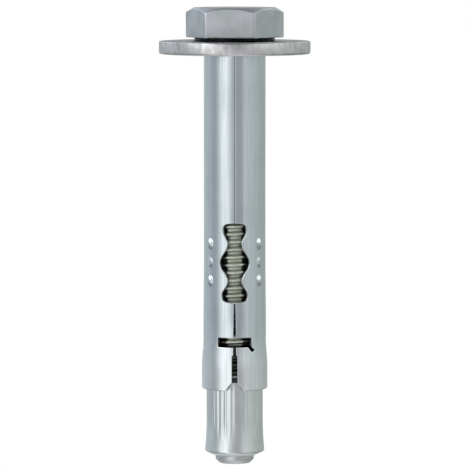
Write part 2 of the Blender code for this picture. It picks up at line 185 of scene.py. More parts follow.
class GeometryTree(Tree):
    """A Geometry Nodes tree whose inputs have names, and which ends in one material."""

    def __init__(self, name: str) -> None:
        """Start a tree with a geometry input and output."""
        super().__init__(bpy.data.node_groups.new(name, "GeometryNodeTree"))
        self.values: dict[str, Any] = {}
        self.tree.interface.new_socket("Geometry", in_out="OUTPUT", socket_type="NodeSocketGeometry")
        self.tree.interface.new_socket("Geometry", in_out="INPUT", socket_type="NodeSocketGeometry")
        self.group_input = self.node("NodeGroupInput")

    @property
    def geometry(self) -> bpy.types.NodeSocket:
        """The geometry that comes in."""
        return self.group_input.outputs[0]

    def size(self, name: str, value: Any, kind: str = "NodeSocketFloat") -> bpy.types.NodeSocket:
        """Add a named input with its value and return its socket."""
        made = self.tree.interface.new_socket(name, in_out="INPUT", socket_type=kind)
        self.values[made.identifier] = value
        return self.group_input.outputs[name]

    @property
    def place(self) -> bpy.types.NodeSocket:
        """The place of each point."""
        return self.node("GeometryNodeInputPosition").outputs[0]

    def turn(self) -> bpy.types.NodeSocket:
        """Return the angle of each point round Z, from the front, between minus and plus half a turn."""
        parts = self.parts(self.place)
        return self.math("ARCTAN2", parts["X"], self.times(parts["Y"], -1.0))

    def level(self) -> bpy.types.NodeSocket:
        """Return the height of each point."""
        return self.parts(self.place)["Z"]

    def push_out(self, geometry: Any, distance: Any, selection: Any = True) -> bpy.types.NodeSocket:
        """Return the geometry with its points moved away from the Z axis by the distance."""
        offset = self.vector("SCALE", self.vector("NORMALIZE", self.from_axis(self.place)), distance)
        inputs = {"Geometry": geometry, "Selection": selection, "Offset": offset}
        return self.node("GeometryNodeSetPosition", inputs).outputs[0]

    def finish(self, geometry: Any, material: bpy.types.Material) -> None:
        """End the tree in real geometry with the material."""
        finish = self.size("Finish", material, "NodeSocketMaterial")
        real = self.node("GeometryNodeRealizeInstances", {"Geometry": geometry}).outputs[0]
        dressed = self.node("GeometryNodeSetMaterial", {"Geometry": real, "Material": finish}).outputs[0]
        self.node("NodeGroupOutput", {0: dressed})

    def shape(self, item: bpy.types.Object) -> None:
        """Run the tree on the object, and keep the result as its plain mesh."""
        modifier = item.modifiers.new(self.tree.name, "NODES")
        modifier.node_group = self.tree
        for identifier, value in self.values.items():
            modifier[identifier] = value
        keep_result(item)


# Shapes

@dataclass(frozen=True)
class Corner:
    """A corner of an outline.

    Attributes:
        across: the distance from the axis or the middle line.
        height: the height.
        rounding: how far the corner is rounded off.
    """

    across: float
    height: float
    rounding: float = 0.0


CORNER_STEPS = 4


def rounded_path(corners: list[Corner], closed: bool = False) -> np.ndarray:
    """Return the points of an outline with its corners rounded.

    Args:
        corners: the outline's corners in order.
        closed: whether the last corner joins the first.

    Returns:
        An array of (across, height) rows.
    """
    points = []
    places = [np.array((corner.across, corner.height)) for corner in corners]
    for index, corner in enumerate(corners):
        is_end = not closed and index in (0, len(corners) - 1)
        if is_end or corner.rounding == 0.0:
            points.append(places[index])
            continue
        to_last = places[index - 1] - places[index]
        to_next = places[(index + 1) % len(corners)] - places[index]
        to_last /= np.linalg.norm(to_last)
        to_next /= np.linalg.norm(to_next)
        half_angle = math.acos(float(np.clip(to_last @ to_next, -1.0, 1.0))) / 2
        setback = corner.rounding / max(math.tan(half_angle), 0.05)
        for step in range(CORNER_STEPS + 1):
            share = step / CORNER_STEPS
            offset = to_last * (1 - share) ** 2 + to_next * share ** 2
            points.append(places[index] + offset * setback)
    return np.array(points)


def divided(path: np.ndarray, longest: float, closed: bool = False) -> np.ndarray:
    """Return the path with every stretch longer than a limit divided evenly."""
    ends = np.vstack((path[1:], path[:1])) if closed else path[1:]
    points = []
    for start, end in zip(path, ends):
        count = max(1, math.ceil(np.linalg.norm(end - start) / longest - 1e-6))
        points.extend(start + (end - start) * step / count for step in range(count))
    if not closed:
        points.append(path[-1])
    return np.array(points)


def smooth_step(value: np.ndarray, start: float, end: float) -> np.ndarray:
    """Return a smooth step that is 0 at start and 1 at end."""
    share = np.clip((value - start) / (end - start), 0.0, 1.0)
    return share * share * (3 - 2 * share)


def new_object(name: str, mesh: bpy.types.Mesh) -> bpy.types.Object:
    """Return a new object of the scene with the mesh."""
    item = bpy.data.objects.new(name, mesh)
    bpy.context.scene.collection.objects.link(item)
    return item


def keep_result(item: bpy.types.Object) -> None:
    """Turn what the object's modifiers make into its plain mesh."""
    bpy.context.view_layer.update()
    mesh = bpy.data.meshes.new_from_object(item.evaluated_get(bpy.context.evaluated_depsgraph_get()))
    item.modifiers.clear()
    item.data = mesh


def turned_object(name: str, sections: np.ndarray, angles: np.ndarray, hollow: bool) -> bpy.types.Object:
    """Make a closed body whose section changes with the angle round Z.

    Args:
        name: the object's name.
        sections: the (distance from the axis, height) points of the section at each angle.
        angles: the angles, in order round one turn.
        hollow: true if a section closes on itself, false if it starts and ends on the axis.

    Returns:
        The object, with smooth faces whose shading keeps flat stretches flat.
    """
    reach, height = sections[..., 0], sections[..., 1]
    corners = np.stack((reach * np.cos(angles)[:, None], reach * np.sin(angles)[:, None], height), axis=-1)
    columns, rows = height.shape
    faces = []
    first, last = (0, rows) if hollow else (1, rows - 2)
    for column in range(columns):
        here = column * rows
        beside = (column + 1) % columns * rows
        for row in range(first, last):
            above = (row + 1) % rows
            faces.append((here + row, beside + row, beside + above, here + above))
        if not hollow:
            faces.append((0, beside + 1, here + 1))
            faces.append((rows - 1, here + rows - 2, beside + rows - 2))
    mesh = bpy.data.meshes.new(name)
    mesh.from_pydata(corners.reshape(-1, 3).tolist(), [], faces)
    mesh.validate()
    item = new_object(name, mesh)
    tidy_surface(mesh)
    for face in mesh.polygons:
        face.use_smooth = len(face.vertices) > 3
    weigh = item.modifiers.new("even_shading", "WEIGHTED_NORMAL")
    weigh.weight = 90
    keep_result(item)
    return item


def tidy_surface(mesh: bpy.types.Mesh) -> None:
    """Drop unused points, face all faces outward and shade them smooth."""
    work = bmesh.new()
    work.from_mesh(mesh)
    bmesh.ops.delete(work, geom=[point for point in work.verts if not point.link_faces], context="VERTS")
    bmesh.ops.recalc_face_normals(work, faces=work.faces)
    work.to_mesh(mesh)
    work.free()
    mesh.shade_smooth()


# Finishes

# Where patches, streaks, roughness and worn edges start and are full, on their patterns' scales
PATCH_BAND = (0.4, 0.75)
STREAK_BAND = (0.3, 0.75)
ROUGHNESS_BAND = (0.25, 0.75)
EDGE_BAND = (0.52, 0.62)


@dataclass(frozen=True)
class Belt:
    """A belt round the axis with painted shade or painted light, where the surface's colour is made darker or
    lighter.

    Attributes:
        start: the height where it starts.
        end: the height where it ends.
        share: how much of the surface's own colour is left in it, in red, green and blue.
        soft: how far its edges fade.
    """

    start: float
    end: float
    share: tuple[float, float, float]
    soft: float = 0.06 * MM

    def above(self, level: float) -> "Belt":
        """Return the belt with its heights counted from the level."""
        return replace(self, start=self.start + level, end=self.end + level)

    def cover(self, tree: Tree, height: Any) -> bpy.types.NodeSocket:
        """Return 1 inside the belt and 0 outside it."""
        rise = tree.ramp(height, self.start, self.start + self.soft)
        return tree.times(rise, tree.ramp(height, self.end - self.soft, self.end, 1.0, 0.0))


@dataclass(frozen=True)
class Sectors:
    """Sectors round the axis, one of them at the front, with painted shade on the surface between them.

    Attributes:
        end: the height up to which there are such sectors.
        count: how many there are.
        lit_angle: the angle from a sector's middle up to which it has no painted shade.
        shade_angle: the angle from which the painted shade is full.
        share: how much of the surface's own colour is left there, in red, green and blue.
        soft: how far the painted shade fades above the end.
    """

    end: float
    count: int = 3
    lit_angle: float = math.radians(15.5)
    shade_angle: float = math.radians(22.5)
    share: tuple[float, float, float] = (0.12,) * 3
    soft: float = 1.5 * MM

    def above(self, level: float) -> "Sectors":
        """Return the sectors with their end counted from the level."""
        return replace(self, end=self.end + level)

    def cover(self, tree: Tree, parts: Any) -> bpy.types.NodeSocket:
        """Return 1 between the sectors and 0 in them and above their end."""
        turn = tree.minus(tree.math("ARCTAN2", parts["Y"], parts["X"]), FRONT)
        away = tree.math("PINGPONG", turn, math.pi / self.count)
        below_end = tree.ramp(parts["Z"], self.end, self.end + self.soft, 1.0, 0.0)
        return tree.times(tree.ramp(away, self.lit_angle, self.shade_angle), below_end)


@dataclass(frozen=True)
class Finish:
    """A plated metal surface with its streaks, stains and grain, and with painted light and shade.

    Attributes:
        name: the material's name.
        tone: its main colour.
        stain: the colour of its dull patches.
        roughness: how rough it is on average.
        roughness_swing: how much the roughness changes between streaks.
        patch_size: the size of the patches.
        streak_size: the streaks' size along x, y and z.
        streak_depth: the height that the streaks stand out.
        streak_shade: how much darker the streaks are, from 0 to 1.
        grain_size: the size of the fine grain.
        grain_depth: the height of the fine grain.
        worn_tone: the brightness of worn edges, as a share of the surface's own.
        worn_cover: how much of an edge is worn, from 0 to 1.
        unshaded_reach: the distance from the axis out from which the surface has its own colour, with no
            painted shade.
        shaded_reach: the distance from the axis where it has the full painted shade of its depths, if it has
            one.
        depth_shade_share: how much of its own colour that painted shade leaves, in red, green and blue.
        belts: the belts of painted shade or painted light.
        sectors: the sectors with painted shade between them, if it has any.
        seed: what makes its patterns differ from the other finishes'.
    """

    name: str
    tone: tuple[float, float, float]
    stain: tuple[float, float, float]
    roughness: float
    roughness_swing: float = 0.1
    patch_size: float = 4.0 * MM
    streak_size: tuple[float, float, float] = (0.4 * MM, 0.4 * MM, 12.0 * MM)
    streak_depth: float = 0.002 * MM
    streak_shade: float = 0.15
    grain_size: float = 0.12 * MM
    grain_depth: float = 0.0008 * MM
    worn_tone: float = 1.35
    worn_cover: float = 0.25
    unshaded_reach: float = 0.0
    shaded_reach: float = 0.0
    depth_shade_share: tuple[float, float, float] = (1.0,) * 3
    belts: tuple[Belt, ...] = ()
    sectors: Sectors | None = None
    seed: float = 0.0

    def material(self) -> bpy.types.Material:
        """Return the material."""
        made = bpy.data.materials.new(self.name)
        made.use_nodes = True
        tree = Tree(made.node_tree)
        shader = made.node_tree.nodes["Principled BSDF"]
        place = tree.node("ShaderNodeTexCoord").outputs["Object"]
        patches = tree.ramp(tree.noise(place, 1 / self.patch_size, 4.0, self.seed), *PATCH_BAND)
        stretch = tuple(1 / size for size in self.streak_size)
        streaks = tree.noise(tree.vector("MULTIPLY", place, stretch), 1.0, 4.0, self.seed + 1)
        grain = tree.noise(place, 1 / self.grain_size, 2.0, self.seed + 2)
        colour = tree.blend(patches, (*self.tone, 1.0), (*self.stain, 1.0))
        shade = tree.ramp(streaks, *STREAK_BAND, 1.0, 1.0 - self.streak_shade)
        colour = self.with_painted_light(tree, place, tree.blend(1.0, colour, shade, "MULTIPLY"))
        convex = tree.node("ShaderNodeNewGeometry").outputs["Pointiness"]
        worn = tree.ramp(convex, *EDGE_BAND, 0.0, self.worn_cover)
        swing = tree.ramp(streaks, *ROUGHNESS_BAND, -self.roughness_swing, self.roughness_swing)
        height = tree.plus(tree.times(streaks, self.streak_depth), tree.times(grain, self.grain_depth))
        bump = tree.node("ShaderNodeBump", {"Height": height, "Distance": 1.0, "Strength": 1.0})
        tree.feed(shader.inputs["Base Color"], tree.shaded(colour, worn, (self.worn_tone,) * 3))
        tree.feed(shader.inputs["Roughness"], tree.plus(swing, self.roughness))
        tree.feed(shader.inputs["Normal"], bump.outputs[0])
        shader.inputs["Metallic"].default_value = 1.0
        return made

    def with_painted_light(self, tree: Tree, place: Any, colour: Any) -> Any:
        """Return the colour with the painted shade of its depths and between its sectors, and the painted
        shade or light of its belts.
        """
        parts = tree.parts(place)
        # Painted shade in the depths: the colour darkens towards the axis.
        if self.unshaded_reach > self.shaded_reach:
            depth_shade = tree.ramp(tree.reach(place), self.shaded_reach, self.unshaded_reach, 1.0, 0.0)
            colour = tree.shaded(colour, depth_shade, self.depth_shade_share)
        # Painted shade between the sectors.
        if self.sectors:
            colour = tree.shaded(colour, self.sectors.cover(tree, parts), self.sectors.share)
        # Painted shade or painted light in each belt.
        for belt in self.belts:
            colour = tree.shaded(colour, belt.cover(tree, parts["Z"]), belt.share)
        return colour


# Screw

@dataclass
class HexHeadScrew:
    """The screw: hexagon head, bearing ring, shank and point in one body, and the thread's ridge."""

    length: float
    across_flats: float = 16.7 * MM
    head_height: float = 5.8 * MM
    chamfer_diameter: float = 15.9 * MM
    chamfer_angle: float = math.radians(30)
    head_turn: float = math.radians(6.5)
    edge_rounding: float = 0.55 * MM
    ring_diameter: float = 15.6 * MM
    ring_height: float = 0.68 * MM
    shank_diameter: float = 9.8 * MM
    core_diameter: float = 8.16 * MM
    crest_diameter: float = 9.76 * MM
    pitch: float = 1.5 * MM
    crest_width: float = 0.34 * MM
    flank_angle: float = math.radians(30)
    thread_turn: float = math.radians(-108)
    threaded_length: float = 50.5 * MM
    point_diameter: float = 7.5 * MM
    point_length: float = 2.3 * MM
    point_chamfer: float = 0.7 * MM
    crest_rounding: float = 0.15 * MM
    ridge_sunk: float = 0.05 * MM
    ridge_fade: float = 0.02
    steps_per_turn: int = 72
    head_finish: Finish = Finish(
        name="matt_zinc", tone=(0.635, 0.65, 0.69), stain=(0.58, 0.615, 0.615), roughness=0.38,
        patch_size=5 * MM, streak_size=(3 * MM, 3 * MM, 3 * MM), streak_depth=0.006 * MM, seed=3.0)
    # Painted shadow on the bearing ring under the head: its colour is made nearly black.
    ring_painted_shadow: Belt = Belt(-0.06 * MM, 0.9 * MM, (0.02,) * 3)
    # Painted light: the point's colour is made lighter.
    point_painted_light: Belt = Belt(-3.0 * MM, 1.0 * MM, (1.14, 1.15, 1.1), 0.3 * MM)
    # The thread's valleys get painted shade: its colour darkens towards the core.
    thread_finish: Finish = Finish(
        name="olive_steel", tone=(0.79, 0.83, 0.74), stain=(0.67, 0.71, 0.59), roughness=0.54,
        patch_size=2 * MM, streak_size=(2 * MM, 2 * MM, 0.6 * MM), streak_depth=0.004 * MM,
        unshaded_reach=4.7 * MM, shaded_reach=4.1 * MM, depth_shade_share=(0.86, 0.86, 0.86), seed=11.0)
    # Painted shade on the thread at the sides of each window, with plain colour at the windows' middles.
    thread_sectors: Sectors = Sectors(end=-17.0 * MM)
    # Painted shade on the thread behind the slits above and below the cross slot, and painted light on it
    # inside the slot.
    thread_belts: tuple[Belt, ...] = (
        Belt(-31.8 * MM, -25.3 * MM, (0.2,) * 3, 0.2 * MM),
        Belt(-25.4 * MM, -23.7 * MM, (1.15,) * 3, 0.2 * MM),
        Belt(-23.7 * MM, -17.6 * MM, (0.2,) * 3, 0.3 * MM),
    )

    def head_reach(self, angle: float) -> float:
        """Return the distance from the axis to the hexagon's side at an angle round Z."""
        sector = math.pi / 3
        front_corner = FRONT + self.head_turn + sector / 2
        from_corner = abs((angle - front_corner + sector / 2) % sector - sector / 2)
        apothem = self.across_flats / 2
        centre = (apothem - self.edge_rounding) / math.cos(sector / 2)
        arc_height = self.edge_rounding * math.sin(sector / 2)
        arc_reach = centre + self.edge_rounding * math.cos(sector / 2)
        if from_corner < math.atan2(arc_height, arc_reach):
            offset = centre * math.sin(from_corner)
            return centre * math.cos(from_corner) + math.sqrt(self.edge_rounding ** 2 - offset ** 2)
        return apothem / math.cos(sector / 2 - from_corner)

    def angles(self) -> np.ndarray:
        """Return the angles round Z of the head's columns, closer together at its corners."""
        sector = math.pi / 3
        front_corner = FRONT + self.head_turn + sector / 2
        near_corner = [math.radians(step) for step in (0.0, 0.3, 0.6, 0.9, 1.4, 2.4)]
        flat_steps = 14
        flat = np.linspace(near_corner[-1], sector - near_corner[-1], flat_steps + 1)[1:-1]
        one = np.concatenate((near_corner, flat, sector - np.array(near_corner[:0:-1])))
        return np.concatenate([front_corner + sector * side + one for side in range(6)])

    def section(self, angle: float) -> np.ndarray:
        """Return the body's half section at an angle round Z."""
        side = self.head_reach(angle)
        chamfer_reach = self.chamfer_diameter / 2
        chamfer_end = (side - chamfer_reach) * math.tan(self.chamfer_angle)
        bearing = self.head_height + self.ring_height
        shank, core, point = self.shank_diameter / 2, self.core_diameter / 2, self.point_diameter / 2
        shoulder = self.length - self.point_length
        thread_start = shoulder - self.threaded_length
        soft, fillet = 0.12 * MM, 0.4 * MM
        return rounded_path([
            Corner(0.0, 0.0),
            Corner(chamfer_reach, 0.0, soft),
            Corner(side, chamfer_end, soft),
            Corner(side, self.head_height, 2 * soft),
            Corner(self.ring_diameter / 2, self.head_height, soft / 2),
            Corner(self.ring_diameter / 2, bearing, soft),
            Corner(shank, bearing, fillet),
            Corner(shank, thread_start - (shank - core), soft),
            Corner(core, thread_start, soft),
            Corner(core, shoulder - (core - point), soft),
            Corner(point, shoulder, soft),
            Corner(point, self.length - self.point_chamfer, soft),
            Corner(point - self.point_chamfer, self.length, soft),
            Corner(0.0, self.length),
        ])

    def body(self) -> bpy.types.Object:
        """Return head, ring, shank and point as one closed body."""
        angles = self.angles()
        sections = np.array([self.section(angle) for angle in angles])
        return turned_object("screw_body", sections, angles, hollow=False)

    def thread_tree(self, material: bpy.types.Material) -> GeometryTree:
        """Return the tree that winds the thread's ridge round the core."""
        tree = GeometryTree("thread_ridge")
        ridge = (self.crest_diameter - self.core_diameter) / 2 + self.ridge_sunk
        foot_width = self.crest_width + 2 * ridge * math.tan(self.flank_angle)
        turns = tree.size("Turns", self.threaded_length / self.pitch)
        pitch = tree.size("Pitch", self.pitch)
        start = tree.size("Start height", self.length - self.point_length - self.threaded_length)
        foot_reach = tree.size("Foot radius", self.core_diameter / 2 - self.ridge_sunk)
        crest = tree.size("Ridge height", ridge)
        crest_half = tree.size("Half crest width", self.crest_width / 2)
        foot_half = tree.size("Half foot width", foot_width / 2)
        fade = tree.size("Share that fades", self.ridge_fade)
        rounding = tree.size("Crest rounding", self.crest_rounding)
        spiral = tree.node("GeometryNodeCurveSpiral", {
            "Resolution": self.steps_per_turn, "Rotations": turns, "Start Radius": foot_reach,
            "End Radius": foot_reach, "Height": tree.times(turns, pitch), "Reverse": True}).outputs[0]
        lift = tree.point(along_z=start)
        turn = tree.point(along_z=tree.size("Start turn", self.thread_turn))
        raised = tree.node("GeometryNodeTransform", {
            "Geometry": spiral, "Translation": lift, "Rotation": turn}).outputs[0]
        upright = tree.node("GeometryNodeSetCurveNormal", {"Curve": raised}, mode="Z_UP").outputs[0]
        profile = tree.node("GeometryNodeCurvePrimitiveQuadrilateral", mode="POINTS")
        below = tree.times(foot_half, -1.0)
        crest_below = tree.times(crest_half, -1.0)
        corners = ((0.0, foot_half), (crest, crest_half), (crest, crest_below), (0.0, below))
        for index, (across, along) in enumerate(corners, start=1):
            tree.feed(profile.inputs[f"Point {index}"], tree.point(across, along))
        rounded = tree.node("GeometryNodeFilletCurve", {
            "Curve": profile.outputs[0], "Radius": rounding, "Count": 3}, mode="POLY")
        share = tree.node("GeometryNodeSplineParameter").outputs["Factor"]
        rise = tree.ramp(share, 0.0, fade)
        fall = tree.ramp(share, tree.minus(1.0, fade), 1.0, 1.0, 0.0)
        wound = tree.node("GeometryNodeCurveToMesh", {
            "Curve": upright, "Profile Curve": rounded.outputs[0],
            "Scale": tree.times(rise, fall), "Fill Caps": True}).outputs[0]
        tree.finish(tree.node("GeometryNodeSetShadeSmooth", {"Geometry": wound}).outputs[0], material)
        return tree

    def materials(self) -> tuple[bpy.types.Material, bpy.types.Material]:
        """Return the material of the head, shank and point and that of the thread."""
        head_belts = (self.ring_painted_shadow.above(self.head_height), self.point_painted_light.above(self.length))
        thread_belts = tuple(belt.above(self.length) for belt in self.thread_belts)
        sectors = self.thread_sectors.above(self.length)
        head = replace(self.head_finish, belts=head_belts).material()
        return head, replace(self.thread_finish, belts=thread_belts, sectors=sectors).material()

    def build(self) -> list[bpy.types.Object]:
        """Build the screw on its body of the frame and return its pieces."""
        body = self.body()
        zinc, olive = self.materials()
        body.data.materials.append(zinc)
        body.data.materials.append(olive)
        shoulder = self.length - self.point_length
        for face in body.data.polygons:
            face.material_index = int(shoulder - self.threaded_length < face.center.z < shoulder)
        thread = new_object("screw_thread", bpy.data.meshes.new("screw_thread"))
        self.thread_tree(olive).shape(thread)
        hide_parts("hex_head_screw")
        for piece in (body, thread):
            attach(piece, Body.SCREW.value)
        return [body, thread]


# Washer

@dataclass
class StampedWasher:
    """The large washer, with a drawn edge on the sleeve's side and an uneven sheared rim."""

    base: float
    top: float
    diameter: float = 29.5 * MM
    bore: float = 10.8 * MM
    drawn_edge: float = 0.5 * MM
    head_side_edge: float = 0.34 * MM
    bore_edge: float = 0.22 * MM
    unevenness: float = 0.05 * MM
    columns: int = 240
    shear_scale: tuple[float, float, float] = (420.0, 420.0, 160.0)
    shear_band: tuple[float, float] = (0.3, 0.8)
    finish: Finish = Finish(
        name="streaked_zinc", tone=(0.82, 0.80, 0.82), stain=(0.58, 0.61, 0.58), roughness=0.42,
        roughness_swing=0.12, patch_size=1.9 * MM, streak_size=(0.8 * MM, 0.8 * MM, 1.8 * MM),
        streak_depth=0.008 * MM, streak_shade=0.18, seed=21.0)
    # Painted shadow of the head on the washer's head-side face.
    head_painted_shadow: Belt = Belt(-0.3 * MM, 0.5 * MM, (0.72,) * 3, 0.25 * MM)

    def section(self) -> np.ndarray:
        """Return the washer's closed section."""
        outer, inner = self.diameter / 2, self.bore / 2
        path = rounded_path([
            Corner(inner, self.top, self.bore_edge),
            Corner(outer, self.top, self.drawn_edge),
            Corner(outer, self.base, self.head_side_edge),
            Corner(inner, self.base, self.bore_edge),
        ], closed=True)
        return divided(path, 0.9 * MM, closed=True)

    def rim_tree(self, material: bpy.types.Material) -> GeometryTree:
        """Return the tree that makes the sheared rim uneven."""
        tree = GeometryTree("uneven_rim")
        unevenness = tree.size("Unevenness", self.unevenness)
        rim_start = tree.size("Rim start", self.diameter / 2 - self.drawn_edge)
        bumps = tree.noise(tree.vector("MULTIPLY", tree.place, self.shear_scale), 1.0, 3.0, 5.0)
        on_rim = tree.ramp(tree.reach(tree.place), rim_start, self.diameter / 2)
        inward = tree.times(tree.ramp(bumps, *self.shear_band), unevenness, on_rim, -1.0)
        tree.finish(tree.push_out(tree.geometry, inward), material)
        return tree

    def build(self) -> list[bpy.types.Object]:
        """Build the washer on the screw's body and return it."""
        angles = np.linspace(0, 2 * math.pi, self.columns, endpoint=False)
        sections = np.repeat(self.section()[None], self.columns, axis=0)
        washer = turned_object("washer_plate", sections, angles, hollow=True)
        finish = replace(self.finish, belts=(self.head_painted_shadow.above(self.base),))
        self.rim_tree(finish.material()).shape(washer)
        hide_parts("washer")
        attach(washer, Body.SCREW.value)
        return [washer]


# Sleeve

@dataclass(frozen=True)
class Window:
    """The vase-shaped window: the widths of its two bulbs, its waists and its belly."""

    length: float = 15.4 * MM
    belly: float = 6.1 * MM
    waist: float = 2.8 * MM
    waist_offset: float = 3.6 * MM
    bulb_offset: float = 6.3 * MM
    head_bulb: float = 4.8 * MM
    leg_bulb: float = 5.2 * MM
    end_squareness: float = 3.0
    steps: int = 12

    def side(self) -> list[tuple[float, float]]:
        """Return (half width, offset from the window's middle) points from its head end to its leg end."""
        stations = [
            (self.head_bulb / 2, -self.bulb_offset),
            (self.waist / 2, -self.waist_offset),
            (self.belly / 2, 0.0),
            (self.waist / 2, self.waist_offset),
            (self.leg_bulb / 2, self.bulb_offset),
        ]
        points = self.cap(stations[0], -1)[::-1]
        for (low, start), (high, end) in zip(stations, stations[1:]):
            for step in range(self.steps):
                share = step / self.steps
                wave = (1 - math.cos(math.pi * share)) / 2
                points.append((low + (high - low) * wave, start + (end - start) * share))
        return points + [stations[-1]] + self.cap(stations[-1], 1)

    def cap(self, station: tuple[float, float], sign: int) -> list[tuple[float, float]]:
        """Return the points of one squarish end, from a bulb to the middle line."""
        half_width, start = station
        rise = self.length / 2 - self.bulb_offset
        points = []
        for step in range(1, self.steps + 1):
            angle = math.pi / 2 * step / self.steps
            along = math.sin(angle) ** (2 / self.end_squareness)
            across = max(math.cos(angle), 0.0) ** (2 / self.end_squareness)
            points.append((half_width * across, start + sign * rise * along))
        return points


@dataclass(frozen=True)
class CrossSlot:
    """The cross slot, with the hook at its end on the -x side."""

    length: float = 6.9 * MM
    width: float = 1.8 * MM
    corner: float = 0.3 * MM
    hook_reach: float = 0.8 * MM
    hook_rise: float = 1.0 * MM
    hook_width: float = 0.85 * MM

    def side(self, middle: float, slit: float, hooked: bool) -> list[Corner]:
        """Return the corners of one half, from the slit on its head side to the slit on its leg side."""
        end, low, high = self.length / 2, middle - self.width / 2, middle + self.width / 2
        corners = [Corner(slit, low), Corner(end, low, self.corner)]
        if hooked:
            corners += [
                Corner(end, high, self.corner),
                Corner(end + self.hook_reach, high + self.hook_rise - self.corner),
                Corner(end + self.hook_reach - self.hook_width, high + self.hook_rise),
                Corner(end - self.hook_width, high),
            ]
        else:
            corners.append(Corner(end, high, self.corner))
        return corners + [Corner(slit, high)]


@dataclass(frozen=True)
class Nubs:
    """The nubs pressed outwards between the windows in three columns, the middle ones flatter."""

    front_turn: float = math.radians(52)
    spacing: float = 3.6 * MM
    height: float = 0.38 * MM
    middle_share: float = 0.42
    width: float = 1.8 * MM
    length: float = 2.4 * MM
    flat_share: float = 0.3
    fineness: float = 0.09 * MM


